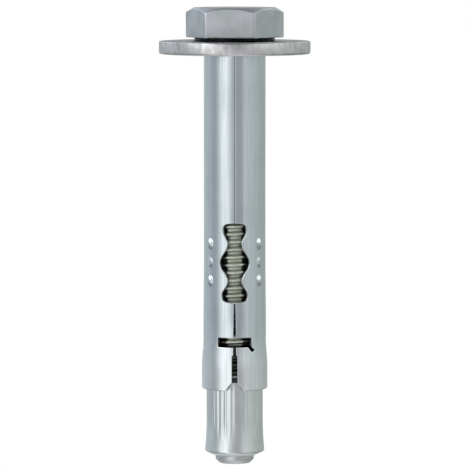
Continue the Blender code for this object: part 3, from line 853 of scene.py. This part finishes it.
@dataclass
class RolledSleeve:
    """The sleeve: a flat blank with its cuts, rolled to a tube, with nubs pressed in its webs."""

    base: float
    leg_end: float
    window: Window = Window()
    slot: CrossSlot = CrossSlot()
    nubs: Nubs = Nubs()
    diameter: float = 12.0 * MM
    thickness: float = 0.8 * MM
    edge_rounding: float = 0.13 * MM
    leg_end_rounding: float = 0.22 * MM
    seam_gap: float = 0.05 * MM
    legs: int = 3
    window_from_leg_end: float = 25.0 * MM
    slot_from_leg_end: float = 9.5 * MM
    slit_at_window: float = 0.2 * MM
    slit_at_slot: float = 0.5 * MM
    wide_slit: float = 1.0 * MM
    wide_slit_from_leg_end: float = 7.1 * MM
    notch_depth: float = 1.75 * MM
    notch_width: float = 3.6 * MM
    web_lift: float = 0.11 * MM
    web_lift_start: float = 26.0 * MM
    web_lift_full: float = 13.0 * MM
    leg_spread: float = 0.40 * MM
    leg_spread_start: float = 10.0 * MM
    leg_spread_full: float = 4.1 * MM
    flat_edge: float = 2.2 * MM
    flat_edge_slope: float = math.tan(math.radians(8))
    flat_edge_start: float = 15.0 * MM
    flat_edge_full: float = 11.0 * MM
    column_width: float = 0.3 * MM
    row_height: float = 0.9 * MM
    spread_row_height: float = 0.3 * MM
    # The bore and the inner part of the cut edges get painted shade, nearly black.
    finish: Finish = Finish(
        name="bright_zinc", tone=(0.68, 0.73, 0.77), stain=(0.62, 0.68, 0.71), roughness=0.26,
        roughness_swing=0.06, patch_size=6 * MM, streak_size=(0.35 * MM, 0.35 * MM, 14 * MM),
        streak_depth=0.003 * MM, streak_shade=0.1, grain_depth=0.0004 * MM,
        unshaded_reach=5.55 * MM, shaded_reach=5.25 * MM, depth_shade_share=(0.12, 0.12, 0.12), seed=31.0)
    # Painted highlight: the colour grows lighter towards the leg end.
    leg_painted_highlight: Belt = Belt(-13.8 * MM, 11.7 * MM, (1.2, 1.15, 1.12), 11.0 * MM)

    @property
    def girth(self) -> float:
        """The tube's outer girth, which is the blank's width with the seam gap."""
        return math.pi * self.diameter

    def cut_side(self, sign: int) -> np.ndarray:
        """Return one side of a cut, from the top of its window to the leg end.

        Args:
            sign: 1 for the side towards +x, -1 for the side with the hook.

        Returns:
            An array of (across, height) rows, measured from the cut's middle line.
        """
        middle = self.leg_end - self.window_from_leg_end
        slot_middle = self.leg_end - self.slot_from_leg_end
        window_end = middle + self.window.length / 2
        slit, wide = self.slit_at_slot / 2, self.wide_slit / 2
        half_slit = self.slit_at_window / 2
        window = [(max(half, half_slit), middle + offset) for half, offset in self.window.side()]
        window[0] = (0.0, middle - self.window.length / 2)
        corners = [Corner(half_slit, window_end)]
        corners += self.slot.side(slot_middle, slit, hooked=sign < 0)
        corners += [
            Corner(slit, self.leg_end - self.wide_slit_from_leg_end),
            Corner(wide, self.leg_end - self.wide_slit_from_leg_end + wide / 2),
            Corner(wide, self.leg_end - self.notch_depth),
            Corner(self.notch_width / 2, self.leg_end, 1.4 * self.leg_end_rounding),
            Corner(self.notch_width, self.leg_end),
        ]
        least = 1.5 * self.edge_rounding
        corners[1:-1] = [replace(corner, rounding=max(corner.rounding, least)) for corner in corners[1:-1]]
        path = np.vstack((window[:-1], rounded_path(corners)[:-1]))
        path[:, 0] *= sign
        return path

    def outline(self) -> np.ndarray:
        """Return the blank's closed outline, counterclockwise, as (across, height) rows."""
        right, left = self.cut_side(1), self.cut_side(-1)
        half_seam = self.seam_gap / 2
        seam_right = right.copy()
        seam_right[:, 0] = np.maximum(seam_right[:, 0], half_seam)
        seam_left = left.copy()
        seam_left[:, 0] = np.minimum(seam_left[:, 0], -half_seam)
        parts = [np.array([(half_seam, self.base), (self.girth - half_seam, self.base)])]
        parts.append(seam_left + (self.girth, 0))
        for leg in range(self.legs - 1, 0, -1):
            shift = (self.girth * leg / self.legs, 0)
            parts += [right[::-1] + shift, left + shift]
        parts.append(seam_right[::-1])
        path = np.vstack(parts)
        steps = np.linalg.norm(path - np.roll(path, 1, axis=0), axis=1)
        return divided(path[steps > 1e-3 * MM], self.column_width, closed=True)

    def rows(self) -> np.ndarray:
        """Return the heights of the blank's rows, closer together where the legs spread."""
        spread = self.leg_end - self.leg_spread_start - self.spread_row_height
        plain = np.arange(self.base, spread, self.row_height)
        return np.concatenate((plain, np.arange(spread, self.leg_end, self.spread_row_height)))

    def inner_points(self, rim: np.ndarray) -> np.ndarray:
        """Return points inside the rim: an even net, and a fine one under each nub."""
        columns = np.arange(self.column_width / 2, self.girth, self.column_width)
        net = np.stack(np.meshgrid(columns, self.rows()), axis=-1).reshape(-1, 2)
        fine = self.nubs.fineness
        half_width, half_length = self.nubs.width / 2 + fine, self.nubs.length / 2 + fine
        patch = np.stack(np.meshgrid(np.arange(-half_width, half_width, fine),
                                     np.arange(-half_length, half_length, fine)), axis=-1).reshape(-1, 2)
        middle = self.leg_end - self.window_from_leg_end
        beside_front = self.nubs.front_turn / (2 * math.pi)
        for share in (beside_front, 0.5, 1 - beside_front):
            for level in (-1, 0, 1):
                centre = np.array((self.girth * share, middle + level * self.nubs.spacing))
                near = (np.abs(net - centre) < (half_width + fine, half_length + fine)).all(axis=1)
                net = np.vstack((net[~near], patch + centre))
        return net[self.inside(net, rim)]

    def inside(self, points: np.ndarray, outline: np.ndarray) -> np.ndarray:
        """Return which points lie inside the outline and not close to it."""
        starts, ends = outline, np.roll(outline, -1, axis=0)
        along = ends - starts
        keep = np.zeros(len(points), bool)
        blocks, clearance = 40, 0.6 * self.nubs.fineness
        for block in np.array_split(np.arange(len(points)), blocks):
            offset = points[block][:, None] - starts
            share = np.clip((offset * along).sum(-1) / (along * along).sum(-1), 0.0, 1.0)
            distance = np.linalg.norm(offset - share[..., None] * along, axis=-1).min(axis=1)
            level = points[block][:, 1:2]
            spans = (starts[:, 1] > level) != (ends[:, 1] > level)
            rise = np.where(along[:, 1] == 0, 1.0, along[:, 1])
            crossing = starts[:, 0] + (level - starts[:, 1]) / rise * along[:, 0]
            odd = (spans & (points[block][:, 0:1] < crossing)).sum(axis=1) % 2 == 1
            keep[block] = odd & (distance > clearance)
        return keep

    def edge_directions(self, outline: np.ndarray) -> tuple[np.ndarray, np.ndarray]:
        """Return each outline point's way out of the sheet: mitred for moving it, and of length 1."""
        along = np.roll(outline, -1, axis=0) - outline
        along /= np.linalg.norm(along, axis=1, keepdims=True)
        out_next = np.stack((along[:, 1], -along[:, 0]), axis=1)
        out_last = np.roll(out_next, 1, axis=0)
        sharpest = 0.4
        mitre = (out_next + out_last) / np.maximum(1 + (out_next * out_last).sum(1), sharpest)[:, None]
        return mitre, mitre / np.linalg.norm(mitre, axis=1, keepdims=True)

    def blank(self) -> tuple[np.ndarray, np.ndarray, list[tuple[int, ...]]]:
        """Return the flat blank: its points, their normals and its faces, with the outer face at y = 0."""
        outline = self.outline()
        mitre, way_out = self.edge_directions(outline)
        notch = self.notch_depth
        at_leg_end = smooth_step(outline[:, 1], self.leg_end - notch, self.leg_end - notch / 2)
        rounding = self.edge_rounding + (self.leg_end_rounding - self.edge_rounding) * at_leg_end
        rim = outline - mitre * rounding[:, None]
        seeds = np.vstack((rim, self.inner_points(rim)))
        count = len(rim)
        flat = delaunay_2d_cdt([Vector(seed / MM) for seed in seeds], [], [list(range(count))], 1, 1e-5)
        net = np.array([point[:] for point in flat[0]]) * MM
        place_of = {seed: index for index, seeds_here in enumerate(flat[3]) for seed in seeds_here}
        rim_places = [place_of[seed] for seed in range(count)]
        faces = [tuple(face) for face in flat[2]]
        size = len(net)
        face_depths = (np.zeros(size), np.full(size, self.thickness))
        points = [np.stack((net[:, 0], depths, net[:, 1]), 1) for depths in face_depths]
        normals = [np.tile((0.0, -1.0, 0.0), (size, 1)), np.tile((0.0, 1.0, 0.0), (size, 1))]
        faces += [tuple(size + corner for corner in face[::-1]) for face in faces]
        rings = [rim_places]
        turns = [math.pi / 2 * step / 4 for step in (1, 2, 3, 4)]
        levels = [(rounding * (1 - math.cos(turn)), turn) for turn in turns]
        levels += [(self.thickness - depth, math.pi - turn) for depth, turn in reversed(levels)]
        for depth, turn in levels:
            edge = outline - mitre * (rounding * (1 - math.sin(turn)))[:, None]
            rings.append([size * 2 + (len(rings) - 1) * count + index for index in range(count)])
            points.append(np.stack((edge[:, 0], depth, edge[:, 1]), 1))
            facing = way_out * math.sin(turn)
            normals.append(np.stack((facing[:, 0], np.full(count, -math.cos(turn)), facing[:, 1]), 1))
        rings.append([size + place for place in rim_places])
        for upper, lower in zip(rings, rings[1:]):
            for index in range(count):
                beside = (index + 1) % count
                faces.append((upper[index], lower[index], lower[beside], upper[beside]))
        return np.vstack(points), np.vstack(normals), faces

    def outer_radius(self, height: np.ndarray) -> np.ndarray:
        """Return the tube's outer radius at the heights, with its legs spread."""
        from_end = self.leg_end - height
        lift = self.web_lift * smooth_step(from_end, self.web_lift_start, self.web_lift_full)
        spread = smooth_step(from_end, self.leg_spread_start, self.leg_spread_full)
        return self.diameter / 2 + lift + (self.leg_spread - self.web_lift) * spread

    def edge_rise(self, points: np.ndarray) -> tuple[np.ndarray, np.ndarray]:
        """Return how far the points rise where the legs' edges stayed flat, and the slope of that along x."""
        leg_width = self.girth / self.legs
        from_cut = (points[:, 0] + leg_width / 2) % leg_width - leg_width / 2
        left = np.maximum(1 - np.abs(from_cut) / self.flat_edge, 0.0)
        strength = smooth_step(self.leg_end - points[:, 2], self.flat_edge_start, self.flat_edge_full)
        slope = self.flat_edge_slope * strength * left
        return slope * left * self.flat_edge / 2, -slope * np.sign(from_cut)

    def rolled(self) -> bpy.types.Object:
        """Return the blank rolled round the Z axis, with the shading of its sheet rolled along."""
        points, normals, faces = self.blank()
        angle = points[:, 0] / (self.diameter / 2) + FRONT
        rise, rise_slope = self.edge_rise(points)
        radius = self.outer_radius(points[:, 2]) + rise - points[:, 1]
        step = 0.01 * MM
        slope = (self.outer_radius(points[:, 2] + step) - self.outer_radius(points[:, 2] - step)) / (2 * step)
        outward = np.stack((np.cos(angle), np.sin(angle), np.zeros(len(angle))), 1)
        onward = np.stack((-np.sin(angle), np.cos(angle), np.zeros(len(angle))), 1)
        up = np.array((0.0, 0.0, 1.0))
        places = outward * radius[:, None] + up * points[:, 2:]
        into = up * slope[:, None] + onward * rise_slope[:, None] - outward
        facing = onward * normals[:, :1] + into * normals[:, 1:2] + up * normals[:, 2:]
        facing /= np.linalg.norm(facing, axis=1, keepdims=True)
        mesh = bpy.data.meshes.new("rolled_sheet")
        mesh.from_pydata(places.tolist(), [], faces)
        mesh.shade_smooth()
        mesh.normals_split_custom_set_from_vertices(facing.tolist())
        return new_object("rolled_sheet", mesh)

    def nub_tree(self, material: bpy.types.Material) -> GeometryTree:
        """Return the tree that presses the nubs out of the webs."""
        tree = GeometryTree("pressed_nubs")
        front_turn = tree.size("Columns beside the front", self.nubs.front_turn)
        radius = tree.size("Tube radius", self.diameter / 2)
        middle = tree.size("Middle nub height", self.leg_end - self.window_from_leg_end)
        spacing = tree.size("Nub spacing", self.nubs.spacing)
        height = tree.size("Outer nub rise", self.nubs.height)
        middle_share = tree.size("Middle nub share", self.nubs.middle_share)
        half_width = tree.size("Half nub width", self.nubs.width / 2)
        half_length = tree.size("Half nub length", self.nubs.length / 2)
        flat_share = tree.size("Flat share", self.nubs.flat_share)
        from_front = tree.math("ABSOLUTE", tree.math("WRAP", tree.turn(), math.pi, -math.pi))
        from_side = tree.math("ABSOLUTE", tree.minus(from_front, front_turn))
        from_column = tree.math("MINIMUM", from_side, tree.minus(math.pi, from_front))
        offset = tree.minus(tree.level(), middle)
        share = tree.math("DIVIDE", offset, spacing)
        nearest = tree.math("ROUND", tree.math("MINIMUM", tree.math("MAXIMUM", share, -1.0), 1.0))
        across = tree.math("DIVIDE", tree.times(from_column, radius), half_width)
        along = tree.math("DIVIDE", tree.minus(offset, tree.times(nearest, spacing)), half_length)
        squares = tree.plus(tree.times(across, across), tree.times(along, along))
        button = tree.ramp(tree.math("SQRT", squares), flat_share, 1.0, 1.0, 0.0)
        outer = tree.ramp(tree.math("ABSOLUTE", nearest), 0.0, 1.0, middle_share, 1.0)
        push = tree.times(height, outer, button)
        tree.finish(tree.push_out(tree.geometry, push), material)
        return tree

    def build(self) -> list[bpy.types.Object]:
        """Build the sleeve on its body of the frame and return it."""
        sleeve = self.rolled()
        finish = replace(self.finish, belts=(self.leg_painted_highlight.above(self.leg_end),))
        self.nub_tree(finish.material()).shape(sleeve)
        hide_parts("expansion_sleeve")
        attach(sleeve, Body.SLEEVE.value)
        return [sleeve]


# Cone nut

@dataclass
class ConeNut:
    """The cone nut: a shallow cone, straight ribs that run out, and a smooth flared end."""

    base: float
    end: float
    cone_radius: float = 5.18 * MM
    cone_edge: float = 0.2 * MM
    body_radius: float = 5.5 * MM
    flare_radius: float = 5.825 * MM
    cone_angle: float = math.radians(6.5)
    flare_length: float = 6.4 * MM
    end_taper: float = 0.6 * MM
    edge_rounding: float = 0.35 * MM
    bore_radius: float = 4.90 * MM
    lip_bore_radius: float = 4.05 * MM
    lip_wall: float = 0.25 * MM
    lip_length: float = 0.35 * MM
    ribs: int = 36
    rib_turn: float = math.radians(-1)
    rib_depth: float = 0.14 * MM
    rib_share: float = 0.46
    rib_softness: float = 0.46
    crisp_turn: float = math.radians(48)
    worn_share: float = 0.25
    run_out_start: float = 7.6 * MM
    run_out_end: float = 3.2 * MM
    columns_per_rib: int = 16
    crisp_band: tuple[float, float] = (0.62, 0.92)
    wander_scale: tuple[float, float, float] = (300.0, 300.0, 20.0)
    wander_band: tuple[float, float] = (0.3, 0.7)
    least_depth: float = 0.6
    run_out_wander: float = 5.0 * MM
    finish: Finish = Finish(
        name="fluted_zinc", tone=(0.79, 0.82, 0.83), stain=(0.71, 0.75, 0.74), roughness=0.31,
        roughness_swing=0.07, patch_size=5 * MM, streak_size=(0.4 * MM, 0.4 * MM, 8 * MM),
        streak_depth=0.004 * MM, streak_shade=0.12, seed=41.0)
    # Painted shade on the cone where it shows in the slits.
    slit_painted_shade: Belt = Belt(0.22 * MM, 1.35 * MM, (0.08,) * 3, 0.08 * MM)

    def section(self) -> np.ndarray:
        """Return the nut's closed section."""
        slope = math.tan(self.cone_angle)
        cone_top = self.base + (self.body_radius - self.cone_radius) / slope
        flare_top = self.end - self.end_taper - self.edge_rounding / 2
        flare_start = flare_top - self.flare_length
        soft = 0.06 * MM
        corners = [
            Corner(self.lip_bore_radius, self.end, soft),
            Corner(self.lip_bore_radius + self.lip_wall, self.end, soft),
            Corner(self.flare_radius, flare_top, self.edge_rounding),
        ]
        flare_steps = 8
        for step in range(1, flare_steps + 1):
            share = 1 - step / flare_steps
            reach = self.body_radius + (self.flare_radius - self.body_radius) * share ** 2
            corners.append(Corner(reach, flare_start + (flare_top - flare_start) * share))
        corners += [
            Corner(self.body_radius, cone_top, 4 * soft),
            Corner(self.cone_radius, self.base, self.cone_edge),
            Corner(self.bore_radius, self.base, soft / 4),
            Corner(self.bore_radius, self.end - self.lip_length - 0.9 * MM, soft),
            Corner(self.lip_bore_radius, self.end - self.lip_length, soft),
        ]
        return divided(rounded_path(corners, closed=True), 0.45 * MM, closed=True)

    def rib_tree(self, material: bpy.types.Material) -> GeometryTree:
        """Return the tree that sinks the valleys between the ribs."""
        tree = GeometryTree("straight_ribs")
        ribs = tree.size("Ribs", float(self.ribs))
        depth = tree.size("Valley depth", self.rib_depth)
        rib_share = tree.size("Rib share", self.rib_share)
        full_below = tree.size("Full depth below", self.end - self.run_out_start)
        none_above = tree.size("No depth above", self.end - self.run_out_end)
        outer_from = tree.size("Outer face from", (self.cone_radius + self.bore_radius) / 2)
        turned = tree.minus(tree.turn(), tree.size("First rib", self.rib_turn))
        turns = tree.times(turned, tree.math("DIVIDE", ribs, 2 * math.pi))
        from_rib = tree.times(tree.math("PINGPONG", turns, 0.5), 2.0)
        soft = tree.size("Rib softness", self.rib_softness)
        valley = tree.ramp(from_rib, tree.minus(rib_share, soft), tree.plus(rib_share, soft))
        wander = tree.noise(tree.vector("MULTIPLY", tree.place, self.wander_scale), 1.0, 2.0, 7.0)
        shift = tree.times(tree.minus(wander, 0.5), tree.size("Run-out wander", self.run_out_wander))
        fade = tree.ramp(tree.plus(tree.level(), shift), full_below, none_above, 1.0, 0.0)
        from_crisp = tree.minus(tree.turn(), tree.size("Crisp side", self.crisp_turn))
        worn = tree.ramp(tree.math("COSINE", from_crisp), *self.crisp_band, self.worn_share, 1.0)
        uneven = tree.ramp(wander, *self.wander_band, self.least_depth, 1.0)
        sunk = tree.times(valley, fade, depth, worn, uneven)
        on_outside = tree.math("GREATER_THAN", tree.reach(tree.place), outer_from)
        tree.finish(tree.push_out(tree.geometry, tree.times(sunk, -1.0), on_outside), material)
        return tree

    def build(self) -> list[bpy.types.Object]:
        """Build the nut on its body of the frame and return it."""
        columns = self.ribs * self.columns_per_rib
        angles = np.linspace(0, 2 * math.pi, columns, endpoint=False)
        sections = np.repeat(self.section()[None], columns, axis=0)
        nut = turned_object("ribbed_nut", sections, angles, hollow=True)
        finish = replace(self.finish, belts=(self.slit_painted_shade.above(self.base),))
        self.rib_tree(finish.material()).shape(nut)
        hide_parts("cone_nut")
        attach(nut, Body.NUT.value)
        return [nut]


# Studio

@dataclass
class Studio:
    """The camera, the light tent and the floor.

    Attributes:
        camera_distance: how far in front of the screw's axis the camera is.
        camera_height: its height.
        camera_side: its offset along x.
        aim_height: the height on the axis that it looks at.
        lens: its focal length in millimetres.
        window_lean: how far the tent's window leans over, as an angle for each unit of height.
        side_glow: how strong the tent is low at its sides, against its strength at eye level.
        side_shade: how strong it is high at its sides.
        floor_glow: how strong it is straight below.
        top_light: the level of its even light from above.
        side_band: where its sides start and are full, as the size of a direction's part along x.
        low_band: where its low glow starts and is full, as a direction's part along z, as are the rest.
        high_band: where its high shade starts and is full.
        high_end: where that shade starts to fade and is gone.
        floor_band: where the glow from below starts and is full.
        top_band: where the light from above starts and is full.
        floor_size: the width of the floor.
        floor_tone: how pale the floor is.
    """

    camera_distance: float = 646.0 * MM
    camera_height: float = -13.0 * MM
    camera_side: float = -0.06 * MM
    aim_height: float = 44.32 * MM
    lens: float = 254.6
    window_lean: float = math.radians(40)
    side_glow: float = 2.8
    side_shade: float = 0.4
    floor_glow: float = 0.5
    top_light: float = 0.72
    side_band: tuple[float, float] = (0.25, 0.6)
    low_band: tuple[float, float] = (-0.08, -0.34)
    high_band: tuple[float, float] = (0.2, 0.36)
    high_end: tuple[float, float] = (0.75, 0.92)
    floor_band: tuple[float, float] = (-0.62, -0.88)
    top_band: tuple[float, float] = (0.5, 0.75)
    floor_size: float = 6.0
    floor_tone: float = 0.95

    def camera(self) -> None:
        """Set up the camera, turned over so that the head is at the top of the picture."""
        data = bpy.data.cameras.new("studio_camera")
        data.lens = self.lens
        data.clip_start = 0.01
        data.clip_end = 20.0
        item = bpy.data.objects.new("studio_camera", data)
        bpy.context.scene.collection.objects.link(item)
        eye = Vector((self.camera_side, -self.camera_distance, self.camera_height))
        aim = Vector((self.camera_side, 0.0, self.aim_height))
        back = (eye - aim).normalized()
        right = Vector((-1.0, 0.0, 0.0))
        up = back.cross(right)
        turn = Matrix((right, up, back)).transposed()
        item.matrix_world = Matrix.Translation(eye) @ turn.to_4x4()
        bpy.context.scene.camera = item

    def tent(self) -> None:
        """Light the scene from a tent with a bright window at its left, shown to the camera as white."""
        world = bpy.data.worlds.new("light_tent")
        world.use_nodes = True
        bpy.context.scene.world = world
        tree = Tree(world.node_tree)
        tree.tree.nodes.clear()
        side, depth, level = tree.parts(tree.node("ShaderNodeTexCoord").outputs["Generated"])
        turn = tree.math("ARCTAN2", tree.times(side, -1.0), tree.times(depth, -1.0))
        leaned = tree.minus(turn, tree.times(level, self.window_lean))
        share = tree.math("WRAP", tree.plus(tree.math("DIVIDE", leaned, 2 * math.pi), 0.5), 1.0, 0.0)
        ramp = tree.node("ShaderNodeValToRGB", {0: share})
        self.tent_stops(ramp.color_ramp)
        strength = self.tent_strength(tree, side, level)
        above = (self.top_light, self.top_light, self.top_light, 1.0)
        glow = tree.blend(tree.ramp(level, *self.top_band), ramp.outputs[0], above)
        light = tree.node("ShaderNodeBackground", {"Color": glow, "Strength": strength})
        white = tree.node("ShaderNodeBackground", {"Color": (1.0, 1.0, 1.0, 1.0), "Strength": 1.0})
        path = tree.node("ShaderNodeLightPath")
        seen = tree.math("MAXIMUM", path.outputs["Is Camera Ray"], path.outputs["Is Transmission Ray"])
        mix = tree.node("ShaderNodeMixShader", {0: seen, 1: light.outputs[0], 2: white.outputs[0]})
        tree.node("ShaderNodeOutputWorld", {"Surface": mix.outputs[0]})

    def tent_strength(self, tree: Tree, side: Any, level: Any) -> Any:
        """Return how strong the tent is towards a direction, against its strength at eye level.

        Args:
            tree: the world's tree.
            side: the direction's part along x.
            level: the direction's part along z.

        Returns:
            The socket of the strength.
        """
        at_side = tree.ramp(tree.math("ABSOLUTE", side), *self.side_band)
        gain = tree.ramp(level, *self.low_band, 0.0, self.side_glow - 1)
        shaded = tree.times(tree.ramp(level, *self.high_band), tree.ramp(level, *self.high_end, 1.0, 0.0))
        loss = tree.times(shaded, 1 - self.side_shade)
        panels = tree.plus(1.0, tree.times(at_side, tree.minus(gain, loss)))
        return tree.times(panels, tree.ramp(level, *self.floor_band, 1.0, self.floor_glow))

    def tent_stops(self, ramp: bpy.types.ColorRamp) -> None:
        """Set the tent's light by degrees to the right of the camera, as a direction from the object."""
        stops = (
            (-180, 0.62, Tint.PLAIN), (-149, 0.63, Tint.BLUE), (-128, 0.61, Tint.BLUE),
            (-104, 0.58, Tint.BLUE), (-94, 0.51, Tint.BLUE), (-86, 0.42, Tint.BLUE),
            (-76, 0.47, Tint.BLUE), (-68, 0.55, Tint.BLUE), (-60, 0.9, Tint.PLAIN),
            (-48, 1.34, Tint.PLAIN), (-36, 1.34, Tint.PLAIN), (-26, 1.24, Tint.PLAIN),
            (-17, 0.72, Tint.PLAIN), (-9, 0.50, Tint.VIOLET), (2, 0.45, Tint.VIOLET),
            (12, 0.44, Tint.VIOLET), (20, 0.40, Tint.VIOLET), (24, 0.36, Tint.VIOLET),
            (29, 0.60, Tint.PLAIN), (34, 0.78, Tint.PLAIN), (55, 0.67, Tint.GREEN),
            (90, 0.57, Tint.GREEN), (139, 0.47, Tint.GREEN), (180, 0.62, Tint.PLAIN),
        )
        while len(ramp.elements) < len(stops):
            ramp.elements.new(0.5)
        for element, (degrees, level, tint) in zip(ramp.elements, stops):
            element.position = (degrees + 180) / 360
            element.color = (*(level * share for share in tint.value), 1.0)

    def floor(self) -> None:
        """Lay a pale floor that shows in no reflection and can't be seen from below."""
        half = self.floor_size / 2
        mesh = bpy.data.meshes.new("studio_floor")
        square = ((-half, -half), (half, -half), (half, half), (-half, half))
        corners = [(across, along, -TOUCH) for across, along in square]
        mesh.from_pydata(corners, [], [(0, 1, 2, 3)])
        material = bpy.data.materials.new("pale_floor")
        material.use_nodes = True
        tree = Tree(material.node_tree)
        tree.tree.nodes.clear()
        tone = (self.floor_tone, self.floor_tone, self.floor_tone, 1.0)
        top = tree.node("ShaderNodeBsdfDiffuse", {"Color": tone}).outputs[0]
        clear = tree.node("ShaderNodeBsdfTransparent").outputs[0]
        below = tree.node("ShaderNodeNewGeometry").outputs["Backfacing"]
        reflected = tree.node("ShaderNodeLightPath").outputs["Is Glossy Ray"]
        mix = tree.node("ShaderNodeMixShader", {0: tree.math("MAXIMUM", below, reflected), 1: top, 2: clear})
        tree.node("ShaderNodeOutputMaterial", {"Surface": mix.outputs[0]})
        mesh.materials.append(material)
        new_object("studio_floor", mesh)

    def build(self) -> None:
        """Set up the whole studio."""
        self.camera()
        self.tent()
        self.floor()
        bpy.context.scene.view_settings.view_transform = "Standard"


def main() -> None:
    """Build the anchor's pieces on the frame and the studio round them."""
    logging.basicConfig(level=logging.INFO, format="%(message)s")
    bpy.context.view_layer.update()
    washer_box, sleeve_box, nut_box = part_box("washer"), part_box("expansion_sleeve"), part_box("cone_nut")
    parts = [
        HexHeadScrew(length=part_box("hex_head_screw")[1].z),
        StampedWasher(base=washer_box[0].z, top=washer_box[1].z),
        RolledSleeve(base=washer_box[1].z + TOUCH, leg_end=sleeve_box[1].z),
        ConeNut(base=nut_box[0].z, end=nut_box[1].z),
    ]
    for part in parts:
        for piece in part.build():
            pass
    Studio().build()


if __name__ == "__main__":
    main()
